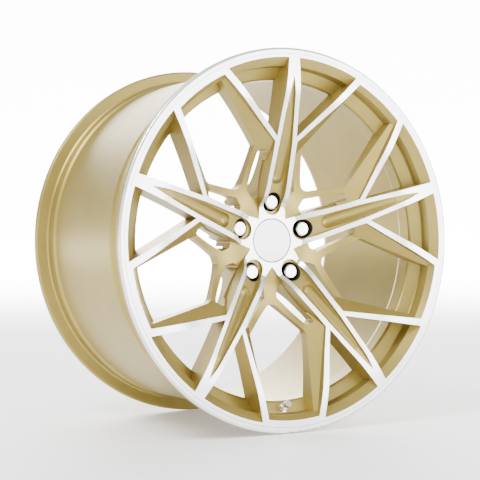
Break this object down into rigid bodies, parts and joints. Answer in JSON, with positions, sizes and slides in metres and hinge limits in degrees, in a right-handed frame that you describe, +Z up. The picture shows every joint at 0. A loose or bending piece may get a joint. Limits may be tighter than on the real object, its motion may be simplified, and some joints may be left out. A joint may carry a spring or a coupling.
{
  "type": "racing wheel rim",
  "caption": "One-piece forged racing wheel with a two-tier split-spoke face, deep rear barrel, cone-seat lug nuts, snap-in centre cap and clamp-in tyre valve.",
  "frame": {"origin": "centre of the bolt circle on the hub mounting face", "axes": "+Y along the axle towards the vehicle, so the spoked face looks to -Y; +Z up through one main spoke, with the tyre valve at the bottom; +X to the right as seen from the front"},
  "size_m": [0.544, 0.307, 0.544],
  "materials": {
    "gold_paint": "satin champagne gold clear-coated paint, turned bright on the face",
    "cap_plastic": "silver painted plastic",
    "cap_disc": "satin",
    "spring_wire": "plain",
    "nut_chrome": "polished",
    "washer_steel": "zinc plated",
    "valve_metal": "nickel plated",
    "valve_rubber": "matte",
    "core_brass": "plain",
    "core_steel": "plain",
    "valve_cap_metal": "polished"
  },
  "bodies": {
    "rim": {"wheel_forging": "gold_paint", "valve_stem": "valve_metal", "valve_grommet": "valve_rubber", "valve_washer": "valve_metal", "valve_nut": "valve_metal", "valve_core": "core_brass", "valve_core_spring": "core_steel"},
    "cap": {"cap_body": "cap_plastic", "cap_face": "cap_disc", "cap_spring_ring": "spring_wire"},
    "valve_pin": {"valve_core_pin": "core_steel"},
    "dust_cap": {"valve_cap": "valve_cap_metal", "valve_cap_gasket": "valve_rubber"},
    "washer_1": {"lug_washer_1": "washer_steel"},
    "nut_1": {"lug_nut_1": "nut_chrome"},
    "washer_2": {"lug_washer_2": "washer_steel"},
    "nut_2": {"lug_nut_2": "nut_chrome"},
    "washer_3": {"lug_washer_3": "washer_steel"},
    "nut_3": {"lug_nut_3": "nut_chrome"},
    "washer_4": {"lug_washer_4": "washer_steel"},
    "nut_4": {"lug_nut_4": "nut_chrome"},
    "washer_5": {"lug_washer_5": "washer_steel"},
    "nut_5": {"lug_nut_5": "nut_chrome"}
  },
  "joints": [
    {"name": "cap_pull", "type": "slide", "parent": "rim", "child": "cap", "axis": [0, -1, 0], "range_m": [0, 0.06]},
    {"name": "valve_cap_off", "type": "slide", "parent": "rim", "child": "dust_cap", "axis": [0, -0.887, 0.4617], "range_m": [0, 0.03]},
    {"name": "valve_pin_press", "type": "slide", "parent": "rim", "child": "valve_pin", "axis": [0, 0.887, -0.4617], "range_m": [0, 0.001], "stiffness_N_per_m": 400, "springref_m": -0.0005, "deforming": ["valve_core_spring"]},
    {"name": "washer_1_slide", "type": "slide", "parent": "rim", "child": "washer_1", "axis": [0, -1, 0], "range_m": [0, 0.0271]},
    {"name": "nut_1_turn", "type": "hinge", "parent": "washer_1", "child": "nut_1", "pos_m": [0, -0.03, 0.056], "axis": [0, -1, 0], "range_deg": [0, 6480]},
    {"name": "washer_2_slide", "type": "slide", "parent": "rim", "child": "washer_2", "axis": [0, -1, 0], "range_m": [0, 0.0271]},
    {"name": "nut_2_turn", "type": "hinge", "parent": "washer_2", "child": "nut_2", "pos_m": [0.05326, -0.03, 0.01731], "axis": [0, -1, 0], "range_deg": [0, 6480]},
    {"name": "washer_3_slide", "type": "slide", "parent": "rim", "child": "washer_3", "axis": [0, -1, 0], "range_m": [0, 0.0271]},
    {"name": "nut_3_turn", "type": "hinge", "parent": "washer_3", "child": "nut_3", "pos_m": [0.03292, -0.03, -0.0453], "axis": [0, -1, 0], "range_deg": [0, 6480]},
    {"name": "washer_4_slide", "type": "slide", "parent": "rim", "child": "washer_4", "axis": [0, -1, 0], "range_m": [0, 0.0271]},
    {"name": "nut_4_turn", "type": "hinge", "parent": "washer_4", "child": "nut_4", "pos_m": [-0.03292, -0.03, -0.0453], "axis": [0, -1, 0], "range_deg": [0, 6480]},
    {"name": "washer_5_slide", "type": "slide", "parent": "rim", "child": "washer_5", "axis": [0, -1, 0], "range_m": [0, 0.0271]},
    {"name": "nut_5_turn", "type": "hinge", "parent": "washer_5", "child": "nut_5", "pos_m": [-0.05326, -0.03, 0.01731], "axis": [0, -1, 0], "range_deg": [0, 6480]}
  ],
  "couplings": [
    {"joint": "washer_1_slide", "follows": "nut_1_turn", "m_per_rad": 0.00023873},
    {"joint": "washer_2_slide", "follows": "nut_2_turn", "m_per_rad": 0.00023873},
    {"joint": "washer_3_slide", "follows": "nut_3_turn", "m_per_rad": 0.00023873},
    {"joint": "washer_4_slide", "follows": "nut_4_turn", "m_per_rad": 0.00023873},
    {"joint": "washer_5_slide", "follows": "nut_5_turn", "m_per_rad": 0.00023873}
  ]
}
